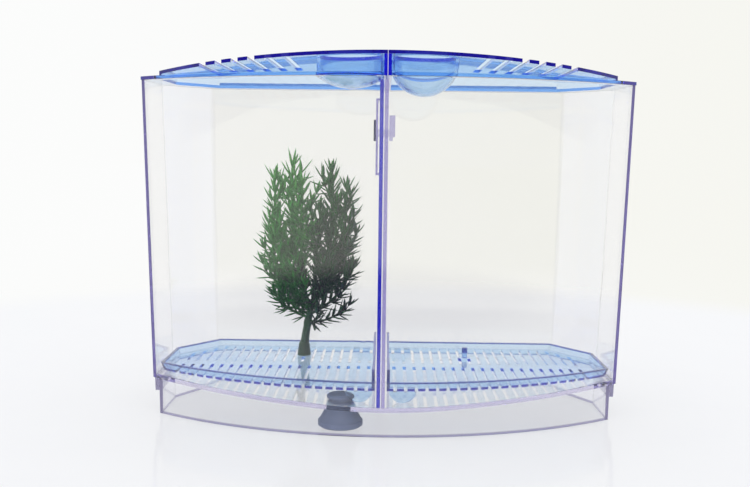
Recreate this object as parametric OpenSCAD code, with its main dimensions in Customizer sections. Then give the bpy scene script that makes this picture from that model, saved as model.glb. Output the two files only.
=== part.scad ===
// Fish breeding box: a clear bow-fronted tank on a clear stand, with two slotted blue trays,
// an upright divider with a small sliding gate, two arched blue lids and a plastic plant.
// Millimetres. Z is up, the bowed front faces -Y, and the origin is under the middle of the box.

/* [Outline] */
// Width across the lids
overall_w = 200; // [190:1:210]
// Depth from the bowed front to the flat back
overall_d = 99; // [95:1:103]
// Distance of the two front corners in front of the middle
corner_fwd = 9.8; // [8:0.1:11]
// Length of the straight side walls
side_len = 33.2; // [32:0.1:36]
// Width of the flat back
back_w = 162; // [156:1:166]

/* [Tank] */
// Height of the top edge of the tank
tank_top = 137; // [130:1:145]
// How far the walls lean in between the top edge and the floor
draft = 4.4; // [3:0.1:5]
// Wall thickness of the tank
wall = 1.6; // [1.4:0.1:1.8]
// Thickness of the floor
floor_t = 1.5; // [1.2:0.1:1.8]
// Height of the underside of the floor at its two ends
floor_end_z = 15.4; // [15:0.1:15.6]
// Height at which the two slopes of the floor's underside would meet in the middle
floor_mid_z = 9.6; // [9.4:0.1:9.8]
// Half width of the rounded bottom of the floor's valley
valley_round = 24; // [10:1:30]
// Backward lean of the axis of the bowed front, in degrees
bow_lean = 8.1; // [7.5:0.1:8.5]
// Growth of the bow's radius for each millimetre down
bow_grow = 0.1035; // [0.1:0.0005:0.107]
// Height of the lower edge of the two side skirts
skirt_z = 9.2; // [8.5:0.1:10]

/* [Stand] */
// Gap in the plan between the sides of the lid and the foot of the stand
stand_inset = 7.2; // [7.2:0.1:7.6]
// Wall thickness of the stand
stand_t = 1.3; // [1:0.1:1.5]

/* [Trays] */
// Height of the underside of the trays
tray_z = 17.2; // [17.1:0.1:17.6]
// Thickness of the slotted plates
tray_t = 1.3; // [1:0.1:1.5]
// Height of the flared rim above the underside
tray_rim_h = 4; // [3:0.1:5]
// Height of the upright wall beside the divider
tray_wall_h = 8.4; // [6:0.1:10]
// Number of slots across each tray
slot_n = 20; // [16:1:20]
// Distance from slot to slot
slot_pitch = 4.1; // [3.9:0.05:4.2]
// Width of a slot
slot_w = 1.3; // [1:0.1:1.6]
// Radius of the peg that holds a plant
peg_r = 1.2; // [1:0.1:1.5]
// Height of the peg above the plate
peg_h = 4.4; // [3:0.1:5]

/* [Divider] */
// Sideways place of the divider
channel_x = -1.2; // [-2:0.1:0]
// Thickness of each of the two divider plates
plate_t = 1.4; // [1.2:0.1:1.5]
// Height of the top edge of the divider
divider_top = 135.6; // [130:0.1:136]
// Travel of the small gate
gate_travel = 16; // [10:1:16]

/* [Lids] */
// Height of the top of the arched roof
lid_top = 146.6; // [146:0.1:150]
// Rise of the roof from its ends to the middle
arch_rise = 6; // [5:0.1:7]
// Thickness of the lid flange and walls
lid_t = 1.3; // [1:0.1:1.5]
// Number of vent slots in each lid
vent_n = 6; // [4:1:6]
// Distance from vent to vent
vent_pitch = 6.75; // [6.5:0.05:7]
// Width of a vent
vent_w = 2.8; // [2:0.1:3.2]
// Half width of the two finger bowls
bowl_r = 12.3; // [11:0.1:12.5]
// Height of the bottom of the shallow bowl in the left lid
bowl_low_left = 133.3; // [132.5:0.1:134]
// Height of the bottom of the deep bowl in the right lid
bowl_low_right = 130.5; // [130:0.1:132]

/* [Plant] */
// Height of the tips of the plant above the table
plant_top = 110; // [90:1:112]
// Leaves in a whorl
leaf_n = 6; // [4:1:7]

/* [Hidden] */

half_w = overall_w / 2;
front_y = -overall_d / 2;
back_y = overall_d / 2;
corner_y = -corner_fwd;
side_end_y = corner_y + side_len;
sagitta = corner_y - front_y;
bow_r = (half_w * half_w + sagitta * sagitta) / (2 * sagitta);
bow_y = front_y + bow_r;
far = 2 * overall_w;
slack = 1;
round_fn = 180;

// Outward direction of the rear chamfer, and how its two ends move in an inset outline
chamfer_dx = half_w - back_w / 2;
chamfer_dy = back_y - side_end_y;
chamfer_len = norm([chamfer_dx, chamfer_dy]);
chamfer_nx = chamfer_dy / chamfer_len;
chamfer_ny = chamfer_dx / chamfer_len;
side_shift = (1 - chamfer_nx) / chamfer_ny;

function along(a, b, t) = a + (b - a) * t;

// Inset of the tank's outer surface at the height z, and the height of the sloping floor at x
tank_edge = 0.3;
function tank_inset(z) = tank_edge + draft * (tank_top - z) / (tank_top - floor_end_z);
floor_slope = (floor_end_z - floor_mid_z) / (half_w - draft);
function floor_z(x) = floor_mid_z + floor_slope
    * (abs(x) < valley_round ? valley_round / 2 + x * x / (2 * valley_round) : abs(x));

// The bowed front is part of a cone whose axis leans back. These give its front line in the
// middle plane, the place of its axis, and its radius in the plan, at the height z
bow_r1 = (bow_r - tank_edge) * cos(bow_lean);
bow_r0 = bow_r1 * (1 + bow_grow * tan(bow_lean));
bow_slope = (sin(bow_lean) - bow_grow * cos(bow_lean)) / (cos(bow_lean) + bow_grow * sin(bow_lean));
function bow_front(z) = front_y + tank_edge + bow_slope * (tank_top - z);
function bow_mid(z) = bow_y + (tank_top - z) * tan(bow_lean);
function bow_plan_r(z) = bow_mid(z) - bow_front(z);

// Straight sides, chamfers and back of the outline: the sides and chamfers are moved in by i and
// the back by ib, and the side walls end sooner by cut
function straight_sides(i, ib, cut = 0) = [
    [-(half_w - i), -far],
    [half_w - i, -far],
    [half_w - i, side_end_y - side_shift * i - cut],
    [half_w - (i + chamfer_ny * (chamfer_dy - ib)) / chamfer_nx, back_y - ib],
    [(i + chamfer_ny * (chamfer_dy - ib)) / chamfer_nx - half_w, back_y - ib],
    [-(half_w - i), side_end_y - side_shift * i - cut]
];

// Outline of the box, moved in by i, with its bowed front moved in by front_i
module outline(i, front_i) {
    intersection() {
        polygon(straight_sides(i, i));
        translate([0, bow_y])
            circle(r = bow_r - front_i, $fn = round_fn);
    }
}

module outline_slab(i, front_i, z0, z1) {
    translate([0, 0, z0])
        linear_extrude(z1 - z0)
            outline(i, front_i);
}

// Solid with flat leaning sides between an outline at z0 and an outline at z1
module leaning_sides(plan0, plan1, z0, z1) {
    low = [for (p = plan0) [p[0], p[1], z0]];
    high = [for (p = plan1) [p[0], p[1], z1]];
    n = len(low);
    polyhedron(
        points = concat(low, high),
        faces = concat(
            [[for (k = [0:n - 1]) k]],
            [[for (k = [0:n - 1]) 2 * n - 1 - k]],
            [for (k = [0:n - 1]) [k, n + k, n + (k + 1) % n, (k + 1) % n]]
        )
    );
}

// Everything inside the bowed front, moved in by i
module inside_bow(i) {
    below = 180;
    above = 40;
    translate([0, bow_y, tank_top])
        rotate([bow_lean, 0, 0])
            translate([0, 0, -below])
                cylinder(
                    h = below + above,
                    r1 = bow_r0 + bow_grow * below - i,
                    r2 = bow_r0 - bow_grow * above - i,
                    $fn = round_fn
                );
}

module tank_body(extra, z0, z1) {
    i0 = tank_inset(z0) + extra;
    i1 = tank_inset(z1) + extra;
    intersection() {
        leaning_sides(straight_sides(i0, i0), straight_sides(i1, i1), z0, z1);
        inside_bow(extra);
    }
}

// Everything above a valley that is as deep as the floor's underside plus up
module above_valley(up) {
    xs = concat([-half_w], [for (k = [-4:4]) k * valley_round / 4], [half_w]);
    rotate([90, 0, 0])
        translate([0, 0, -far / 2])
            linear_extrude(far)
                polygon(concat(
                    [for (x = xs) [x, floor_z(x) + up]],
                    [[half_w, far], [-half_w, far]]
                ));
}

module slab_x(x0, x1) {
    translate([x0, -far / 2, -far / 2])
        cube([x1 - x0, far, far]);
}

/* Stand */

stand_lean = 0.4;
stand_h = 20;
stand_front = 2;
stand_cut = 6;

module stand_body(extra, z0, z1) {
    i = stand_inset + extra;
    intersection() {
        leaning_sides(
            straight_sides(i, i, stand_cut),
            straight_sides(i - stand_lean, i - stand_lean, stand_cut),
            z0,
            z1
        );
        inside_bow(stand_front + extra);
    }
}

module stand_base() {
    color([0.86, 0.88, 0.95, 0.35])
        difference() {
            stand_body(0, 0, stand_h);
            stand_body(stand_t, -slack, stand_h + slack);
            above_valley(0);
        }
}

/* Tank */

plug_x = -17;
plug_y = -29.5;
hole_r = 4.5;
skirt_end = 3;
rib_t = 1;
rib_depth = 1.2;
rib_low = tray_z + tray_rim_h + 1;
rib_high = tank_top - 3;
stack_t = 2 * plate_t + 0.4;
rib_gap = stack_t / 2 + 0.35;

module tank_skirts() {
    intersection() {
        difference() {
            tank_body(0, skirt_z, floor_end_z + 0.4);
            tank_body(wall + 0.2, skirt_z - slack, floor_end_z + slack);
        }
        translate([-half_w, corner_y, skirt_z])
            cube([2 * half_w, side_len - skirt_end, far]);
    }
}

// Upright ribs on the front and back walls that keep the divider in place
module divider_ribs() {
    intersection() {
        difference() {
            tank_body(wall - 0.3, rib_low, rib_high);
            tank_body(wall + rib_depth, rib_low - slack, rib_high + slack);
        }
        for (side = [-1, 1])
            translate([channel_x + side * (rib_gap + rib_t / 2), 0, far / 4])
                cube([rib_t, far, far], center = true);
    }
}

module tank_shell() {
    color([0.88, 0.89, 0.96, 0.3])
        difference() {
            union() {
                difference() {
                    intersection() {
                        tank_body(0, floor_mid_z - slack, tank_top);
                        above_valley(0);
                    }
                    intersection() {
                        tank_body(wall, floor_mid_z - 2 * slack, tank_top + slack);
                        above_valley(floor_t);
                    }
                }
                tank_skirts();
                divider_ribs();
            }
            translate([plug_x, plug_y, 0])
                cylinder(h = tray_z, r = hole_r, $fn = 64);
        }
}

/* Drain plug */

// Rubber plug: a head above the floor, a waist in the hole, and a flared brim below it
module drain_plug() {
    under = floor_z(plug_x) - 0.5;
    over = floor_z(plug_x) + floor_t + 0.5;
    squeeze = 0.1;
    color([0.42, 0.46, 0.56])
        translate([plug_x, plug_y, 0])
            rotate_extrude($fn = 96)
                polygon([
                    [0, 0.5], [3.6, 0.5], [4, 1.2], [8, 1.2], [8.8, 1.8], [8.8, 3.6], [8.2, 4.2],
                    [5.2, under - 0.6], [4.9, under], [hole_r + squeeze, under],
                    [hole_r + squeeze, over], [5.4, over], [5.4, over + 0.7], [4.6, over + 1.3], [0, over + 1.3]
                ]);
}

/* Trays */

tray_side_low = 8.7;
tray_side_high = 7.8;
tray_back_low = 8.2;
tray_back_high = 7.5;
tray_front_low = 7;
tray_front_high = 4.2;
rim_t = 1.2;
wall_t = 1.25;
channel_half = 2.3;
peg_x = 35.6;
peg_y = 20.5;
slot_side = 13.4;
slot_back = 9.6;
row_gap = [-0.2, 7.6];

// Part of the plan that one tray covers, on the side of the divider given by side
module tray_side(side) {
    x0 = channel_x + side * channel_half;
    translate([side > 0 ? x0 : x0 - far, -far / 2, 0])
        cube([far, far, far]);
}

// Pan that flares by the given share of the rim's flare, moved in by extra
module tray_body(extra, z0, z1, flare) {
    t0 = flare * (z0 - tray_z) / tray_rim_h;
    t1 = flare * (z1 - tray_z) / tray_rim_h;
    side = [for (t = [t0, t1]) along(tray_side_low, tray_side_high, t) + extra];
    back = [for (t = [t0, t1]) along(tray_back_low, tray_back_high, t) + extra];
    front = [for (t = [t0, t1]) bow_plan_r(tray_z) - along(tray_front_low, tray_front_high, t) - extra];
    intersection() {
        leaning_sides(
            straight_sides(side[0], back[0]),
            straight_sides(side[1], back[1]),
            z0,
            z1
        );
        translate([0, bow_mid(tray_z), z0])
            cylinder(h = z1 - z0, r1 = front[0], r2 = front[1], $fn = round_fn);
    }
}

// Two rows of slots: the front row is open at the front edge of the plate
module tray_slots(side) {
    first = channel_x + side * (channel_half + wall_t + slot_pitch / 2);
    difference() {
        intersection() {
            translate([0, 0, tray_z - slack])
                linear_extrude(tray_t + 0.3 + slack)
                    polygon(straight_sides(slot_side, slot_back));
            for (k = [0:slot_n - 1])
                translate([first + side * k * slot_pitch, 0, tray_z])
                    cube([slot_w, far, far / 2], center = true);
        }
        translate([-half_w, row_gap[0], 0])
            cube([overall_w, row_gap[1] - row_gap[0], far]);
        translate([side * peg_x, peg_y, 0])
            cylinder(h = far, r = peg_r + 1.8, $fn = 48);
    }
}

// Half-round feet under the inner edge, and low pads under the outer end
module tray_feet(side) {
    foot_x = channel_x + side * (channel_half + 6.2);
    foot_r = tray_z + 0.15 - floor_z(foot_x) - floor_t;
    for (y = [-34, 38])
        intersection() {
            translate([foot_x, y, tray_z + 0.2])
                rotate([90, 0, 0])
                    cylinder(h = 1.5, r = foot_r, center = true, $fn = 64);
            translate([-half_w, -far / 2, 0])
                cube([overall_w, far, tray_z + 0.4]);
        }
    for (y = [-3, 17])
        translate([side * 84, y, floor_z(86) + floor_t + 0.02])
            cylinder(h = tray_z + 0.3 - floor_z(86) - floor_t, r = 2, $fn = 32);
}

module tray(side) {
    difference() {
        union() {
            intersection() {
                difference() {
                    tray_body(0, tray_z, tray_z + tray_rim_h, 1);
                    tray_body(rim_t, tray_z + tray_t, tray_z + tray_rim_h + slack, 1);
                }
                tray_side(side);
            }
            intersection() {
                tray_body(0.3, tray_z, tray_z + tray_wall_h, 0);
                translate([channel_x + side * (channel_half + wall_t / 2), 0, 0])
                    cube([wall_t, far, far], center = true);
            }
            tray_feet(side);
            translate([side * peg_x, peg_y, tray_z + tray_t / 2])
                cylinder(h = tray_t / 2 + peg_h, r = peg_r, $fn = 48);
        }
        tray_slots(side);
    }
}

module tray_left() {
    color([0.3, 0.55, 0.95, 0.5])
        tray(-1);
}

module tray_right() {
    color([0.3, 0.55, 0.95, 0.5])
        tray(1);
}

/* Divider */

divider_low = floor_z(channel_x - stack_t / 2) + floor_t + 0.02;
edge_gap = 0.35;
gate_y = -14;
gate_w = 16;
gate_low = 100;
gate_h = 30;
gate_t = 0.9;
gate_off = 0.8;
window_w = 12;
window_low = 115;
window_h = 12;
neck_w = 3;
neck_h = 3;

// Upright plate whose ends follow the leaning walls, with the gate's window and slot
module divider_plate(x0) {
    gap = wall + edge_gap;
    translate([x0, 0, 0])
        rotate([90, 0, 90])
            linear_extrude(plate_t)
                difference() {
                    polygon([
                        [bow_front(divider_low) + gap, divider_low],
                        [back_y - tank_inset(divider_low) - gap, divider_low],
                        [back_y - tank_inset(divider_top) - gap, divider_top],
                        [bow_front(divider_top) + gap, divider_top]
                    ]);
                    translate([gate_y - window_w / 2, window_low])
                        square([window_w, window_h]);
                    translate([gate_y - neck_w / 2 - 0.3, window_low - gate_travel - 0.4])
                        square([neck_w + 0.6, gate_travel + 1]);
                }
}

module divider_blue() {
    color([0.1, 0.15, 0.75, 0.7])
        divider_plate(channel_x - stack_t / 2);
}

module divider_clear() {
    color([0.75, 0.78, 0.92, 0.4])
        divider_plate(channel_x + stack_t / 2 - plate_t);
}

/* Gate */

gate_x = channel_x - stack_t / 2 - gate_off - gate_t;
catch_x = channel_x + stack_t / 2 + 0.3;
catch_t = 2.6;

// Thin shutter with a turned edge at the top and bottom, and the neck that goes through the slot
module gate_plate() {
    color([0.75, 0.8, 0.95, 0.4])
        union() {
            translate([gate_x, gate_y - gate_w / 2, gate_low])
                cube([gate_t, gate_w, gate_h]);
            for (z = [gate_low, gate_low + gate_h - 0.9])
                translate([gate_x, gate_y - gate_w / 2, z])
                    cube([gate_t + gate_off - 0.1, gate_w, 0.9]);
            translate([gate_x + gate_t / 2, gate_y - neck_w / 2, window_low + 0.1])
                cube([catch_x - gate_x - gate_t / 2, neck_w, neck_h]);
        }
}

module gate_knob() {
    color([0.05, 0.08, 0.5, 0.9])
        translate([gate_x, gate_y, window_low + 2.6])
            rotate([0, -90, 0])
                linear_extrude(1.1)
                    polygon([[-4.2, -4.5], [-4.2, 4.5], [4.2, 3.2], [4.2, -3.2]]);
}

// Block behind the divider that keeps the gate from falling off, with two short prongs
module gate_catch() {
    color([0.7, 0.75, 0.9, 0.5])
        translate([catch_x, gate_y, window_low]) {
            translate([0, -4.5, 0])
                cube([catch_t, 9, 8.6]);
            for (side = [-1, 1])
                translate([0, side * 3.2 - 0.9, -1.4])
                    cube([catch_t - 0.8, 1.8, 1.6]);
        }
}

/* Lids */

crown_side = 7.6;
crown_front = 5;
seam_gap = 0.16;
rail_h = 2.8;
rail_t = 2;
rail_half = 77.5;
arch_half = half_w - crown_side;
arch_r = (arch_half * arch_half + arch_rise * arch_rise) / (2 * arch_rise);
bowl_x = 14;
bowl_y = -26;
bowl_wall = 1.2;
shallow_r = 21;
vent_first = 38.5;
vent_back = 26.4;

function arch_z(x) = lid_top - arch_r + sqrt(arch_r * arch_r - x * x);
function crown_edge(x) = bow_y - sqrt((bow_r - crown_front) * (bow_r - crown_front) - x * x);

module under_arch(drop) {
    translate([0, 0, lid_top - arch_r])
        rotate([90, 0, 0])
            cylinder(h = far, r = arch_r - drop, center = true, $fn = round_fn);
}

// A slot with a round back end through the roof, whose front end is at y0
module vent(x, y0, y1) {
    translate([x - vent_w / 2, y0, 0])
        cube([vent_w, y1 - y0, far]);
    translate([x, y1, 0])
        cylinder(h = far, r = vent_w / 2, $fn = 32);
}

// All vents of one lid: the outer ones run out through the front edge of the roof
module vents() {
    difference() {
        for (k = [0:vent_n - 1]) {
            x = vent_first + k * vent_pitch;
            vent(x, crown_edge(x) + (k == 0 ? 3 : k == 1 ? 1.6 : -3), vent_back - 1.2 * k);
        }
        under_arch(lid_t + 0.5);
    }
}

// The room of a finger bowl, grown by extra: a deep round one, or a shallow one with upright sides
module bowl_room(low, deep, extra) {
    r = (deep ? bowl_r : shallow_r) + extra;
    intersection() {
        translate([bowl_x, bowl_y, low + (deep ? bowl_r : shallow_r)])
            sphere(r = r, $fn = 96);
        translate([bowl_x, bowl_y, low - 2])
            cylinder(h = far, r = bowl_r + extra, $fn = 96);
    }
}

module lid_half(low, deep) {
    seam = seam_gap / 2;
    difference() {
        union() {
            intersection() {
                outline_slab(0, 0, tank_top, tank_top + lid_t);
                slab_x(seam, half_w + slack);
            }
            intersection() {
                outline_slab(crown_side, crown_front, tank_top, lid_top + slack);
                slab_x(seam, half_w);
                under_arch(0);
            }
            translate([seam, back_y - rail_t, tank_top])
                cube([rail_half - seam, rail_t, rail_h]);
        }
        intersection() {
            outline_slab(crown_side + lid_t, crown_front + lid_t, tank_top - slack, lid_top + slack);
            slab_x(seam + lid_t, half_w);
            under_arch(lid_t);
        }
        vents();
        bowl_room(low + bowl_wall, deep, 0);
    }
    intersection() {
        difference() {
            bowl_room(low + bowl_wall, deep, bowl_wall);
            bowl_room(low + bowl_wall, deep, 0);
        }
        under_arch(lid_t / 2);
        slab_x(seam, half_w);
    }
}

module lid_right() {
    color([0.25, 0.5, 0.95, 0.5])
        lid_half(bowl_low_right, true);
}

module lid_left() {
    color([0.25, 0.5, 0.95, 0.5])
        mirror([1, 0, 0])
            lid_half(bowl_low_left, false);
}

/* Plant */

root = [-peg_x, peg_y, tray_z + tray_t];
crotch = [-peg_x + 3, peg_y - 1, root[2] + 22];
tall_tip = [-peg_x - 9, peg_y - 2, plant_top - 6];
dark_tip = [-peg_x + 16, peg_y - 6, plant_top - 8];

// A point on the bent line from a through m to b
function bend(a, m, b, t) = along(along(a, m, t), along(m, b, t), t);

module limb(a, b, ra, rb) {
    hull() {
        translate(a)
            sphere(r = ra, $fn = 8);
        translate(b)
            sphere(r = rb, $fn = 8);
    }
}

// A flat pointed leaf from the origin along +X: narrow at both ends and widest in the middle
module leaf(length, width, thick) {
    polyhedron(
        points = [
            [0, 0, 0],
            [length * 0.45, width / 2, 0],
            [length * 0.45, 0, thick / 2],
            [length * 0.45, -width / 2, 0],
            [length * 0.45, 0, -thick / 2],
            [length, 0, length * 0.12]
        ],
        faces = [
            [0, 1, 2], [0, 2, 3], [0, 3, 4], [0, 4, 1],
            [5, 2, 1], [5, 3, 2], [5, 4, 3], [5, 1, 4]
        ]
    );
}

// A leafy shoot: a bent stem from a through m to b with whorls of leaves that point up and out
module sprig(a, m, b, whorls, length, steps) {
    for (k = [0:steps - 1])
        limb(
            bend(a, m, b, k / steps),
            bend(a, m, b, (k + 1) / steps),
            1.1 - 0.6 * k / steps,
            1.1 - 0.6 * (k + 1) / steps
        );
    for (w = [0:whorls - 1]) {
        t = 0.12 + 0.88 * w / (whorls - 1);
        reach = length * (1 - 0.35 * t);
        for (k = [0:leaf_n - 1])
            translate(bend(a, m, b, t))
                rotate([0, 0, 360 * k / leaf_n + 37 * w])
                    rotate([0, -28 - 30 * t, 0])
                        translate([0.4, 0, 0])
                            leaf(reach, 2.2, 0.8);
    }
}

module plant_stem() {
    socket_h = 6.5;
    color([0.1, 0.42, 0.14])
        difference() {
            union() {
                translate(root + [0, 0, 0.2])
                    cylinder(h = socket_h, r1 = 3, r2 = 2.2, $fn = 48);
                limb(root + [0, 0, socket_h - 1.5], crotch, 1.8, 1.4);
            }
            translate(root)
                cylinder(h = peg_h + 0.5, r = peg_r + 0.05, $fn = 48);
        }
}

module plant_sprig_tall() {
    color([0.2, 0.56, 0.2])
        sprig(crotch, along(crotch, tall_tip, 0.5) + [-5, 0, 0], tall_tip, 10, 17, 6);
}

module plant_sprig_dark() {
    color([0.08, 0.36, 0.14])
        sprig(crotch, along(crotch, dark_tip, 0.5) + [7, 0, 0], dark_tip, 10, 17, 6);
}

module plant_side_left() {
    color([0.14, 0.46, 0.18])
        sprig(along(root, crotch, 0.75), root + [-6, 3, 25], root + [-15, 5, 43], 6, 13, 6);
}

module plant_side_right() {
    color([0.14, 0.46, 0.18])
        sprig(along(root, crotch, 0.5), root + [9, -3, 21], root + [18, -5, 41], 6, 13, 6);
}

stand_base();
tank_shell();
drain_plug();
tray_left();
tray_right();
divider_blue();
divider_clear();
gate_plate();
gate_knob();
gate_catch();
lid_left();
lid_right();
plant_stem();
plant_sprig_tall();
plant_sprig_dark();
plant_side_left();
plant_side_right();
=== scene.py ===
import math
import random

import bmesh
import bpy
from mathutils import Matrix, Vector


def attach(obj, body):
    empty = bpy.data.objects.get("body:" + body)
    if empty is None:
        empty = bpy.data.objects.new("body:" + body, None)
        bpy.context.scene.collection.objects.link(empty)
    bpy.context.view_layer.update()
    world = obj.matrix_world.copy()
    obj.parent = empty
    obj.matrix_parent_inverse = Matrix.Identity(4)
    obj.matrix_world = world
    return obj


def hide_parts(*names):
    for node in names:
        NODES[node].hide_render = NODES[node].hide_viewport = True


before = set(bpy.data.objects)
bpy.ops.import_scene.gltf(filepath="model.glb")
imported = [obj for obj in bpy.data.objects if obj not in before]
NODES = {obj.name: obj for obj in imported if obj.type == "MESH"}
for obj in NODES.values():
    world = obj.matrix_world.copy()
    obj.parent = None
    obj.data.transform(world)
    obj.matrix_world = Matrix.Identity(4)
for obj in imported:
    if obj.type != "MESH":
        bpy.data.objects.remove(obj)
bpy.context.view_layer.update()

MM = 0.001

# Photograph's frame, and the camera that was fitted to the outline of the box in it
PHOTO_W = 750
FOCAL_PX = 979.8
CAMERA_AT = Vector((0.0, -409.4, 110.0)) * MM
CAMERA_PITCH = 0.0955
CAMERA_YAW = -0.0110
CAMERA_ROLL = 0.0122
SENSOR_MM = 36.0

# Colours of the room behind the box, from its left side to its right side
BACK_LEFT = (0.97, 0.975, 0.97, 1)
BACK_RIGHT = (0.925, 0.925, 0.88, 1)

# The same where it is seen through plastic, which takes a little of its light away
THROUGH_LEFT = (1.0, 1.0, 0.995, 1)
THROUGH_RIGHT = (0.985, 0.985, 0.95, 1)

# The room as gloss and clear plastic show it: the side where one stands, and both ends
FRONT_ROOM = (0.07, 0.07, 0.2, 1)
SIDE_ROOM = (1.0, 1.0, 1.0, 1)

# Depth at which the table starts to turn into the backdrop, and where it has done so
TABLE_END = 0.33
BACK_START = 0.42

# Share of light that the plastic lets through: the rest is the haze of a moulded surface
CLEARNESS = 0.985
PLASTIC_IOR = 1.5

# Enough bounces for light that is caught in thin clear walls
WALL_BOUNCES = 160

# Pale colour of the table itself, and its share in what is seen of the table
TABLE_FILL = (0.935, 0.945, 0.97, 1)
TABLE_FILL_SHARE = 0.6


def make_camera():
    data = bpy.data.cameras.new("camera")
    data.sensor_fit = "HORIZONTAL"
    data.sensor_width = SENSOR_MM
    data.lens = FOCAL_PX / PHOTO_W * SENSOR_MM
    data.clip_start = 0.01
    data.clip_end = 50
    cam = bpy.data.objects.new("camera", data)
    bpy.context.scene.collection.objects.link(cam)
    bpy.context.scene.camera = cam
    level = Vector((math.sin(CAMERA_YAW), math.cos(CAMERA_YAW), 0))
    side = Vector((math.cos(CAMERA_YAW), -math.sin(CAMERA_YAW), 0))
    ahead = level * math.cos(CAMERA_PITCH) - Vector((0, 0, math.sin(CAMERA_PITCH)))
    up = level * math.sin(CAMERA_PITCH) + Vector((0, 0, math.cos(CAMERA_PITCH)))
    right = side * math.cos(CAMERA_ROLL) + up * math.sin(CAMERA_ROLL)
    above = up * math.cos(CAMERA_ROLL) - side * math.sin(CAMERA_ROLL)
    turn = Matrix((right, above, -ahead)).transposed().to_4x4()
    cam.matrix_world = Matrix.Translation(CAMERA_AT) @ turn


def new_material(name):
    mat = bpy.data.materials.new(name)
    mat.use_nodes = True
    nt = mat.node_tree
    return mat, nt, nt.nodes["Principled BSDF"]


def add(nt, kind, **values):
    n = nt.nodes.new(kind)
    for key, value in values.items():
        setattr(n, key, value)
    return n


def ramp(nt, source, stops):
    n = add(nt, "ShaderNodeValToRGB")
    n.color_ramp.elements[0].position, n.color_ramp.elements[0].color = stops[0]
    n.color_ramp.elements[1].position, n.color_ramp.elements[1].color = stops[-1]
    for at, colour in stops[1:-1]:
        n.color_ramp.elements.new(at).color = colour
    nt.links.new(source, n.inputs["Fac"])
    return n.outputs["Color"]


def map_range(nt, source, a, b, lo=0.0, hi=1.0):
    n = add(nt, "ShaderNodeMapRange", interpolation_type="SMOOTHSTEP")
    n.inputs["From Min"].default_value = a
    n.inputs["From Max"].default_value = b
    n.inputs["To Min"].default_value = lo
    n.inputs["To Max"].default_value = hi
    nt.links.new(source, n.inputs["Value"])
    return n.outputs["Result"]


def mix_shader(nt, fac, a, b):
    n = add(nt, "ShaderNodeMixShader")
    nt.links.new(fac, n.inputs[0])
    nt.links.new(a, n.inputs[1])
    nt.links.new(b, n.inputs[2])
    return n.outputs[0]


def maths(nt, kind, a, b, clamp=True):
    n = add(nt, "ShaderNodeMath", operation=kind, use_clamp=clamp)
    for k, v in enumerate((a, b)):
        if isinstance(v, float):
            n.inputs[k].default_value = v
        else:
            nt.links.new(v, n.inputs[k])
    return n.outputs[0]


def fine_bump(nt, shader, scale, strength, distance):
    """Faint waviness of a moulded surface."""
    coord = add(nt, "ShaderNodeTexCoord")
    noise = add(nt, "ShaderNodeTexNoise")
    noise.inputs["Scale"].default_value = scale
    noise.inputs["Detail"].default_value = 3
    bump = add(nt, "ShaderNodeBump")
    bump.inputs["Strength"].default_value = strength
    bump.inputs["Distance"].default_value = distance
    nt.links.new(coord.outputs["Object"], noise.inputs["Vector"])
    nt.links.new(noise.outputs["Fac"], bump.inputs["Height"])
    nt.links.new(bump.outputs["Normal"], shader.inputs["Normal"])
    return noise


def mix_colour(nt, fac, a, b):
    n = add(nt, "ShaderNodeMix", data_type="RGBA")
    nt.links.new(fac, n.inputs["Factor"])
    if isinstance(a, tuple):
        n.inputs["A"].default_value = a
    else:
        nt.links.new(a, n.inputs["A"])
    n.inputs["B"].default_value = b
    return n.outputs["Result"]


def mix_number(nt, fac, a, b):
    n = add(nt, "ShaderNodeMix", data_type="FLOAT")
    nt.links.new(fac, n.inputs["Factor"])
    if isinstance(a, float):
        n.inputs["A"].default_value = a
    else:
        nt.links.new(a, n.inputs["A"])
    n.inputs["B"].default_value = b
    return n.outputs["Result"]


# Shape of the box in millimetres, which says where its moulded edge lines are, along which shade is painted
# into the plastic's colour
TANK_TOP = 137.0
WALL_LEAN = 4.4 / (137 - 15.4)
CORNER_LEAN = 0.0221
BOW_Y = 96.3
ARCH_AXIS_Z = -567.9


def edge_places(nt):
    """Places in millimetres: along the axes, from the middle plane to the leaning side wall, to
    the leaning front corner, and the distances from the axes of the bow and of the arched roof."""
    coord = add(nt, "ShaderNodeTexCoord")
    scale = add(nt, "ShaderNodeVectorMath", operation="SCALE")
    scale.inputs["Scale"].default_value = 1 / MM
    sep = add(nt, "ShaderNodeSeparateXYZ")
    nt.links.new(coord.outputs["Object"], scale.inputs[0])
    nt.links.new(scale.outputs["Vector"], sep.inputs[0])
    x, y, z = (sep.outputs[k] for k in "XYZ")
    half = maths(nt, "ABSOLUTE", x, 0.0, False)
    down = maths(nt, "SUBTRACT", TANK_TOP, z, False)
    lean = maths(nt, "MULTIPLY", down, WALL_LEAN, False)
    corner = maths(nt, "MULTIPLY", down, CORNER_LEAN, False)
    xx = maths(nt, "MULTIPLY", x, x, False)
    from_bow = maths(nt, "SUBTRACT", y, BOW_Y, False)
    from_arch = maths(nt, "SUBTRACT", z, ARCH_AXIS_Z, False)
    radius = [maths(nt, "SQRT", maths(nt, "ADD", xx, maths(nt, "MULTIPLY", d, d, False), False), 0.0, False)
              for d in (from_bow, from_arch)]
    return {"X": half, "Y": y, "Z": z, "side": maths(nt, "ADD", half, lean, False),
            "corner": maths(nt, "ADD", y, corner, False), "bow": radius[0], "arch": radius[1]}


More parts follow.
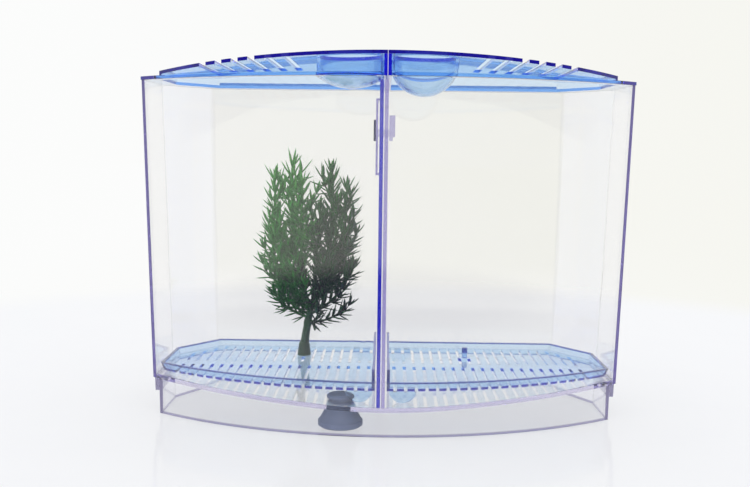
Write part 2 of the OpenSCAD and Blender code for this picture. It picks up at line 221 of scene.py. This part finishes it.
def clear_material(name, tint, absorb, density, roughness=0.015, painted_shades=()):
    """Solid clear plastic, whose colour comes from the length of the way through it, with shade painted on
    top.
    Each painted shade gives a tint, a clearness and its limits: an axis and the two places between which
    the tint sets in. These tints paint dark lines along moulded rims and corners, and darker patches, in
    place of light that is caught in the plastic or lost on its way through."""
    mat, nt, p = new_material(name)
    p.inputs["Base Color"].default_value = (*tint, 1)
    p.inputs["Transmission Weight"].default_value = CLEARNESS
    p.inputs["IOR"].default_value = PLASTIC_IOR
    if painted_shades:
        places = edge_places(nt)
        colour, clearness = None, None
        # Painted shade: between its limits each tint darkens the base colour and lowers the clearness
        for limits, shade_tint, shade_clearness in painted_shades:
            share = None
            for axis, start, end in limits:
                part = map_range(nt, places[axis], start, end)
                share = part if share is None else maths(nt, "MULTIPLY", share, part)
            colour = mix_colour(nt, share, colour or (*tint, 1), (*shade_tint, 1))
            clearness = mix_number(nt, share, clearness or CLEARNESS, shade_clearness)
        nt.links.new(colour, p.inputs["Base Color"])
        nt.links.new(clearness, p.inputs["Transmission Weight"])
    noise = fine_bump(nt, p, 45, 0.06, 0.0004)
    nt.links.new(map_range(nt, noise.outputs["Fac"], 0.35, 0.7, roughness, roughness + 0.02),
                 p.inputs["Roughness"])
    vol = add(nt, "ShaderNodeVolumeAbsorption")
    vol.inputs["Color"].default_value = (*absorb, 1)
    vol.inputs["Density"].default_value = density
    out = next(n for n in nt.nodes if n.type == "OUTPUT_MATERIAL")
    nt.links.new(vol.outputs["Volume"], out.inputs["Volume"])
    return mat


def plain_material(name, low, high, scale, roughness=0.5, bump=0.2):
    mat, nt, p = new_material(name)
    noise = fine_bump(nt, p, scale, bump, 0.0003)
    colour = ramp(nt, noise.outputs["Fac"], [(0.35, (*low, 1)), (0.68, (*high, 1))])
    nt.links.new(colour, p.inputs["Base Color"])
    p.inputs["Roughness"].default_value = roughness
    return mat


def leaf_material(name, deep, middle, tip, low_z, high_z):
    """Soft moulded plastic leaves, darker near the table and paler higher up."""
    mat, nt, p = new_material(name)
    noise = fine_bump(nt, p, 260, 0.25, 0.0003)
    geo = add(nt, "ShaderNodeNewGeometry")
    sep = add(nt, "ShaderNodeSeparateXYZ")
    nt.links.new(geo.outputs["Position"], sep.inputs[0])
    height = map_range(nt, sep.outputs["Z"], low_z, high_z, 0.0, 0.6)
    spread = maths(nt, "MULTIPLY", noise.outputs["Fac"], 0.55)
    colour = ramp(nt, maths(nt, "ADD", height, spread),
                  [(0.15, (*deep, 1)), (0.5, (*middle, 1)), (0.95, (*tip, 1))])
    nt.links.new(colour, p.inputs["Base Color"])
    p.inputs["Roughness"].default_value = 0.42
    p.inputs["Subsurface Weight"].default_value = 0.15
    p.inputs["Subsurface Scale"].default_value = 0.001
    return mat


def dress(node, *mats):
    ob = NODES[node]
    ob.data.materials.clear()
    for m in mats:
        ob.data.materials.append(m)


def back_colour(nt, x, a, b, left=BACK_LEFT, right=BACK_RIGHT):
    return ramp(nt, map_range(nt, x, a, b), [(0.0, left), (1.0, right)])


def make_world():
    """Bright room: the backdrop ahead, white above, and a darker side where one stands."""
    world = bpy.data.worlds.new("world")
    bpy.context.scene.world = world
    world.use_nodes = True
    nt = world.node_tree
    bg = nt.nodes["Background"]
    path = add(nt, "ShaderNodeLightPath")
    coord = add(nt, "ShaderNodeTexCoord")
    sep = add(nt, "ShaderNodeSeparateXYZ")
    nt.links.new(coord.outputs["Generated"], sep.inputs[0])
    seen = back_colour(nt, sep.outputs["X"], -0.35, 0.35)
    room = ramp(nt, map_range(nt, sep.outputs["Y"], -0.55, 0.2), [
        (0.0, FRONT_ROOM), (0.55, SIDE_ROOM), (1.0, (0.95, 0.955, 0.95, 1)),
    ])
    sky = ramp(nt, map_range(nt, sep.outputs["Z"], 0.25, 0.75),
               [(0.0, (0, 0, 0, 1)), (1.0, (1, 1, 1, 1))])
    top = add(nt, "ShaderNodeMix", data_type="RGBA")
    nt.links.new(sky, top.inputs["Factor"])
    nt.links.new(room, top.inputs["A"])
    top.inputs["B"].default_value = (0.95, 0.95, 0.95, 1)
    sharp = maths(nt, "MAXIMUM", path.outputs["Is Glossy Ray"], path.outputs["Is Transmission Ray"])
    lit = add(nt, "ShaderNodeMix", data_type="RGBA")
    nt.links.new(sharp, lit.inputs["Factor"])
    lit.inputs["A"].default_value = (1, 1, 1, 1)
    nt.links.new(top.outputs["Result"], lit.inputs["B"])
    show = maths(nt, "MAXIMUM", path.outputs["Is Camera Ray"], path.outputs["Is Transmission Ray"])
    through = back_colour(nt, sep.outputs["X"], -0.35, 0.35, THROUGH_LEFT, THROUGH_RIGHT)
    direct = add(nt, "ShaderNodeMix", data_type="RGBA")
    nt.links.new(path.outputs["Is Camera Ray"], direct.inputs["Factor"])
    nt.links.new(through, direct.inputs["A"])
    nt.links.new(seen, direct.inputs["B"])
    final = add(nt, "ShaderNodeMix", data_type="RGBA")
    nt.links.new(show, final.inputs["Factor"])
    nt.links.new(lit.outputs["Result"], final.inputs["A"])
    nt.links.new(direct.outputs["Result"], final.inputs["B"])
    nt.links.new(final.outputs["Result"], bg.inputs["Color"])
    bg.inputs["Strength"].default_value = 1.0


def make_floor():
    """White glossy table that turns into the pale backdrop behind the box."""
    me = bpy.data.meshes.new("table")
    bm = bmesh.new()
    bmesh.ops.create_grid(bm, x_segments=1, y_segments=1, size=6)
    bm.to_mesh(me)
    bm.free()
    ob = bpy.data.objects.new("table", me)
    bpy.context.scene.collection.objects.link(ob)
    ob.location.z = -0.0001
    mat, nt, p = new_material("table")
    noise = fine_bump(nt, p, 30, 0.03, 0.0004)
    colour = ramp(nt, noise.outputs["Fac"],
                  [(0.3, (0.87, 0.875, 0.9, 1)), (0.7, (0.89, 0.895, 0.91, 1))])
    nt.links.new(colour, p.inputs["Base Color"])
    p.inputs["Roughness"].default_value = 0.1
    coord = add(nt, "ShaderNodeTexCoord")
    sep = add(nt, "ShaderNodeSeparateXYZ")
    nt.links.new(coord.outputs["Object"], sep.inputs[0])
    far = add(nt, "ShaderNodeEmission")
    path = add(nt, "ShaderNodeLightPath")
    shown = add(nt, "ShaderNodeMix", data_type="RGBA")
    nt.links.new(path.outputs["Is Camera Ray"], shown.inputs["Factor"])
    nt.links.new(back_colour(nt, sep.outputs["X"], -0.4, 0.4, THROUGH_LEFT, THROUGH_RIGHT),
                 shown.inputs["A"])
    nt.links.new(back_colour(nt, sep.outputs["X"], -0.4, 0.4), shown.inputs["B"])
    nt.links.new(shown.outputs["Result"], far.inputs["Color"])
    sharp = maths(nt, "MAXIMUM", path.outputs["Is Glossy Ray"], path.outputs["Is Transmission Ray"])
    seen = maths(nt, "MAXIMUM", path.outputs["Is Camera Ray"], sharp)
    reach = add(nt, "ShaderNodeVectorMath", operation="LENGTH")
    nt.links.new(coord.outputs["Object"], reach.inputs[0])
    away = map_range(nt, reach.outputs["Value"], TABLE_END, BACK_START)
    out = next(n for n in nt.nodes if n.type == "OUTPUT_MATERIAL")
    fill = add(nt, "ShaderNodeEmission")
    fill.inputs["Color"].default_value = TABLE_FILL
    near = mix_shader(nt, maths(nt, "MULTIPLY", seen, TABLE_FILL_SHARE), p.outputs["BSDF"],
                      fill.outputs[0])
    # Painted shade: in what gloss and clear plastic reflect, the front of the table shows the dark room
    # colour instead of its own
    painted_front_shade = add(nt, "ShaderNodeEmission")
    painted_front_shade.inputs["Color"].default_value = FRONT_ROOM
    front = map_range(nt, sep.outputs["Y"], -0.12, -0.24)
    near = mix_shader(nt, maths(nt, "MULTIPLY", front, path.outputs["Is Glossy Ray"]), near,
                      painted_front_shade.outputs[0])
    nt.links.new(mix_shader(nt, maths(nt, "MULTIPLY", away, seen), near,
                            far.outputs[0]), out.inputs["Surface"])
    ob.data.materials.append(mat)


def area_light(name, at, target, size, power):
    data = bpy.data.lights.new(name, "AREA")
    data.energy = power
    data.size = size
    ob = bpy.data.objects.new(name, data)
    bpy.context.scene.collection.objects.link(ob)
    ob.location = at
    ob.rotation_euler = (Vector(target) - Vector(at)).to_track_quat("-Z", "Y").to_euler()


# A plant's stem is a bent line, given by three points
def bend(a, m, b, t):
    return a.lerp(m, t).lerp(m.lerp(b, t), t)


def ring(bm, centre, side_a, side_b, radius, count):
    return [bm.verts.new(centre + (side_a * math.cos(2 * math.pi * k / count)
                                   + side_b * math.sin(2 * math.pi * k / count)) * radius)
            for k in range(count)]


def skin(bm, rings, tip=None):
    """Closed tube over the rings, ending in the tip where one is given."""
    bm.faces.new(list(reversed(rings[0])))
    for low, high in zip(rings, rings[1:]):
        n = len(low)
        for k in range(n):
            bm.faces.new((low[k], low[(k + 1) % n], high[(k + 1) % n], high[k]))
    last = rings[-1]
    if tip is None:
        bm.faces.new(last)
    else:
        for k in range(len(last)):
            bm.faces.new((last[k], last[(k + 1) % len(last)], tip))


def frame_of(direction):
    side = direction.cross(Vector((0, 0, 1)))
    if side.length < 1e-4:
        side = Vector((1, 0, 0))
    side.normalize()
    return side, direction.cross(side).normalized()


def needle(bm, at, direction, length, width, curl):
    """One slim leaf: flat, widest near its middle, curling up to a point."""
    side, up = frame_of(direction)
    rings = []
    for t, w in ((0.0, 0.55), (0.4, 1.0), (0.75, 0.7)):
        centre = at + direction * (length * t) + Vector((0, 0, 1)) * (curl * t * t)
        half = width / 2 * w
        rings.append([bm.verts.new(centre + side * half), bm.verts.new(centre + up * half * 0.45),
                      bm.verts.new(centre - side * half), bm.verts.new(centre - up * half * 0.45)])
    skin(bm, rings, bm.verts.new(at + direction * length + Vector((0, 0, 1)) * curl))


def stem_frame(a, m, b, t):
    ahead = (bend(a, m, b, min(1, t + 0.02)) - bend(a, m, b, max(0, t - 0.02))).normalized()
    side, up = frame_of(ahead)
    return bend(a, m, b, t), ahead, side, up


def shoot(bm, rng, a, m, b, r0, r1, leaf_len, start, spacing, leaves, steps):
    """Bent stem with whorls of needles, which lean forward more and more towards its end."""
    length = sum((bend(a, m, b, k / 12) - bend(a, m, b, (k + 1) / 12)).length for k in range(12))
    rings = []
    for k in range(steps + 1):
        at, ahead, side, up = stem_frame(a, m, b, k / steps)
        rings.append(ring(bm, at, side, up, (r0 + (r1 - r0) * k / steps) * MM, 6))
    skin(bm, rings)
    whorls = max(2, round(length / MM * (1 - start) / spacing))
    for w in range(whorls + 1):
        t = start + (1 - start) * w / whorls
        at, ahead, side, up = stem_frame(a, m, b, t)
        turn = w * 0.9 + rng.uniform(-0.3, 0.3)
        for k in range(leaves):
            ang = turn + 2 * math.pi * k / leaves + rng.uniform(-0.3, 0.3)
            tilt = math.radians(rng.uniform(34, 58) - 20 * max(0.0, t - 0.7) / 0.3)
            out = side * math.cos(ang) + up * math.sin(ang)
            direction = (out * math.sin(tilt) + ahead * math.cos(tilt)).normalized()
            size = leaf_len * rng.uniform(0.78, 1.12)
            needle(bm, at, direction, size * MM, rng.uniform(1.25, 1.7) * MM,
                   rng.uniform(0.1, 0.9) * MM)


def branch(bm, rng, a, m, b, r0, r1, leaf_len, twig_len=11):
    """Main stem with twigs that leave it on all sides and bend up."""
    a, m, b = (Vector(v) * MM for v in (a, m, b))
    shoot(bm, rng, a, m, b, r0, r1, leaf_len, 0.1, 4.0, 5, 10)
    length = sum((bend(a, m, b, k / 12) - bend(a, m, b, (k + 1) / 12)).length for k in range(12))
    twigs = max(2, round(length / MM / 6.5))
    for w in range(twigs):
        t = 0.14 + 0.72 * w / max(1, twigs - 1)
        at, ahead, side, up = stem_frame(a, m, b, t)
        ang = w * 2.4 + rng.uniform(-0.4, 0.4)
        out = side * math.cos(ang) + up * math.sin(ang) * 0.7
        reach = twig_len * rng.uniform(0.75, 1.1) * (1 - 0.4 * t) * MM
        middle = at + out * reach * 0.5 + ahead * reach * 0.35
        end = at + out * reach * 0.75 + (ahead + Vector((0, 0, 1))) * reach * 0.55
        shoot(bm, rng, at, middle, end, r1 * 0.9, r1 * 0.5, leaf_len * 0.85, 0.25, 3.4, 4, 4)


def plant_piece(name, node, material, branches, seed):
    bm = bmesh.new()
    rng = random.Random(seed)
    for line in branches:
        branch(bm, rng, *line)
    return finish_plant(bm, name, node, material)


def finish_plant(bm, name, node, material):
    bmesh.ops.recalc_face_normals(bm, faces=bm.faces)
    me = bpy.data.meshes.new(name)
    bm.to_mesh(me)
    bm.free()
    for f in me.polygons:
        f.use_smooth = True
    me.materials.append(material)
    ob = bpy.data.objects.new(name, me)
    bpy.context.scene.collection.objects.link(ob)
    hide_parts(node)
    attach(ob, "plant")
    return ob


PEG = (-35.6, 20.5, 18.5)


def plant_foot(material):
    """Socket with a hollow for the peg, a collar, and the main stem that leans over."""
    bm = bmesh.new()
    around = 24
    base = Vector(PEG)
    profile = [(1.25, 4.9), (1.25, 0.25), (2.9, 0.25), (3.0, 0.7), (2.75, 2.6), (2.45, 4.6),
               (2.5, 5.0), (2.25, 5.6), (1.9, 6.5)]
    loops = [[bm.verts.new((base + Vector((r * math.cos(2 * math.pi * k / around),
                                           r * math.sin(2 * math.pi * k / around), z))) * MM)
              for k in range(around)] for r, z in profile]
    for low, high in zip(loops, loops[1:]):
        for k in range(around):
            bm.faces.new((low[k], low[(k + 1) % around], high[(k + 1) % around], high[k]))
    bm.faces.new(loops[0])
    bm.faces.new(loops[-1])
    a, m, b = (Vector(v) * MM for v in ((-35.4, 20.3, 24.2), (-34.4, 19.6, 33), (-32.2, 18.4, 41.5)))
    rings = []
    for k in range(13):
        t = k / 12
        ahead = (bend(a, m, b, min(1, t + 0.02)) - bend(a, m, b, max(0, t - 0.02))).normalized()
        s, u = frame_of(ahead)
        node_swell = 0.35 * math.exp(-((t - 0.55) / 0.07) ** 2)
        rings.append(ring(bm, bend(a, m, b, t), s, u, (1.9 - 0.6 * t + node_swell) * MM, 14))
    skin(bm, rings)
    return finish_plant(bm, "plant_foot", "plant_stem", material)


def make_plant():
    green = leaf_material("leaf_green", (0.006, 0.13, 0.01), (0.025, 0.38, 0.025), (0.14, 0.6, 0.1),
                          0.03, 0.115)
    dark = leaf_material("leaf_dark", (0.002, 0.05, 0.003), (0.006, 0.14, 0.01), (0.04, 0.32, 0.03),
                         0.03, 0.115)
    stem = plain_material("stem_green", (0.008, 0.08, 0.02), (0.02, 0.15, 0.045), 180, 0.4)
    plant_foot(stem)
    plant_piece("plant_tall", "plant_sprig_tall", green, [
        ((-32.6, 18.4, 39), (-42, 16, 66), (-40.5, 13, 102), 1.1, 0.5, 8.5),
        ((-35, 17, 47), (-48, 15, 62), (-48, 13, 96), 0.9, 0.4, 8),
        ((-37, 16, 56), (-36, 12, 72), (-36, 11, 94), 0.9, 0.4, 8),
        ((-34, 18, 43), (-50, 15, 52), (-49.5, 14, 78), 0.8, 0.4, 8),
    ], 11)
    plant_piece("plant_dark", "plant_sprig_dark", dark, [
        ((-31.5, 18.4, 40), (-22, 17, 66), (-23.5, 14, 99), 1.1, 0.5, 8.5),
        ((-28.5, 17.5, 48), (-16.5, 15, 62), (-17, 13, 92), 0.9, 0.4, 8),
        ((-31, 17, 44), (-30, 11, 64), (-28, 10, 80), 0.9, 0.4, 8),
        ((-29, 18, 45), (-16, 15, 54), (-16, 13, 78), 0.8, 0.4, 7.5),
    ], 12)
    plant_piece("plant_low_left", "plant_side_left", green, [
        ((-33.4, 18.6, 37.5), (-45, 17, 42), (-50, 15, 57), 0.8, 0.4, 8),
        ((-33.8, 19, 36), (-42, 20, 38), (-48, 19, 45), 0.7, 0.35, 7.5),
        ((-33, 18.6, 38), (-38, 12, 46), (-40, 9, 58), 0.7, 0.35, 7.5),
    ], 13)
    plant_piece("plant_low_right", "plant_side_right", dark, [
        ((-33.2, 18.6, 37.5), (-20, 16, 43), (-16, 13, 57), 0.8, 0.4, 7.5),
        ((-33.8, 19, 34), (-26, 16, 34), (-20, 13, 39), 0.7, 0.35, 7),
        ((-32.6, 18.4, 38.5), (-27, 12, 48), (-25, 9, 58), 0.7, 0.35, 7.5),
    ], 14)


make_camera()
make_world()
make_floor()
area_light("top_softbox", (0, -0.15, 1.1), (0, 0, 0.05), 1.2, 1.6)

CLEAR_ABSORB = (0.2, 0.1, 0.72)
# Tints of painted shade: dark lines painted along the plastic's moulded rims and corners
VIOLET_EDGE_SHADE = (0.16, 0.13, 0.4)
BLUE_EDGE_SHADE = (0.05, 0.12, 0.6)
NAVY_EDGE_SHADE = (0.015, 0.01, 0.3)
foot = clear_material("stand_plastic", (0.97, 0.972, 0.985), CLEAR_ABSORB, 9, painted_shades=[
    # Painted shade: violet-grey and less clear below 0.7 to 1.1 mm, where the foot meets the table
    ([("Z", 1.1, 0.7)], (0.5, 0.48, 0.66), 0.9),
    # Painted shade: dark violet-grey and far less clear towards the front corners of the stand
    ([("X", 91.2, 91.5), ("Y", -10.2, -10.6)], (0.35, 0.32, 0.52), 0.3),
])
tank = clear_material("tank_plastic", (0.99, 0.99, 0.985), CLEAR_ABSORB, 6, painted_shades=[
    # Painted shade: the back wall between its rear corners is dimmed to a warm grey
    ([("Y", 44.2, 44.8), ("X", 81.6, 80.6)], (0.93, 0.93, 0.895), CLEARNESS),
    # Painted shade: violet-grey and less clear along the bottom of the side walls
    ([("Z", 15.3, 14.9), ("X", 92.6, 93.0)], (0.5, 0.48, 0.66), 0.85),
    # Painted shade: dark violet line, nearly opaque, along the leaning front corners
    ([("side", 98.0, 98.3), ("corner", -8.3, -8.7)], VIOLET_EDGE_SHADE, 0.3),
])
gate_clear = clear_material("gate_plastic", (0.86, 0.86, 0.94), (0.3, 0.22, 0.7), 90)
smoky = clear_material("divider_plastic", (0.95, 0.95, 0.975), (0.3, 0.22, 0.75), 14)
blue = clear_material("blue_plastic", (0.93, 0.975, 1), (0, 0.53, 0.96), 250, painted_shades=[
    # Painted shade: darker blue and less clear above 20.5 to 20.8 mm
    ([("Z", 20.5, 20.8)], BLUE_EDGE_SHADE, 0.75),
])
lid_blue = clear_material("lid_plastic", (0.94, 0.975, 1), (0, 0.52, 0.968), 200, painted_shades=[
    # Painted shade: deeper blue over the back of the crown
    ([("Y", 46.5, 47.4), ("Z", 138.3, 138.4)], (0.17, 0.35, 0.7), CLEARNESS),
    # Painted shade: navy line, nearly opaque, along the front top rim of the crown
    ([("bow", 140.4, 140.6), ("arch", 713.1, 713.2), ("bow", 142.0, 141.5)], NAVY_EDGE_SHADE, 0.3),
    # Painted shade: navy line, nearly opaque, along the front rim at the lid's outer ends
    ([("bow", 145.3, 145.5), ("X", 93.0, 93.4)], (0.05, 0.035, 0.4), 0.3),
    # Painted shade: darker blue and half clear at the side ends of the lid
    ([("X", 99.4, 99.6)], BLUE_EDGE_SHADE, 0.5),
])
deep_blue = clear_material("divider_blue_plastic", (0.93, 0.95, 1), (0, 0.36, 0.985), 420)
navy = plain_material("navy_plastic", (0.006, 0.008, 0.11), (0.012, 0.016, 0.19), 80, 0.22, 0.08)
rubber = plain_material("grey_rubber", (0.26, 0.34, 0.58), (0.33, 0.41, 0.66), 120, 0.55)

MATERIAL_OF = {
    "stand_base": foot, "tank_shell": tank, "divider_clear": smoky, "gate_plate": gate_clear,
    "gate_catch": gate_clear, "tray_left": blue, "tray_right": blue, "lid_left": lid_blue,
    "lid_right": lid_blue, "divider_blue": deep_blue, "gate_knob": navy, "drain_plug": rubber,
}
for node_name, material in MATERIAL_OF.items():
    dress(node_name, material)
make_plant()

sc = bpy.context.scene
sc.view_settings.view_transform = "Standard"
sc.cycles.max_bounces = WALL_BOUNCES
sc.cycles.transmission_bounces = WALL_BOUNCES
sc.cycles.glossy_bounces = WALL_BOUNCES
sc.cycles.transparent_max_bounces = 16
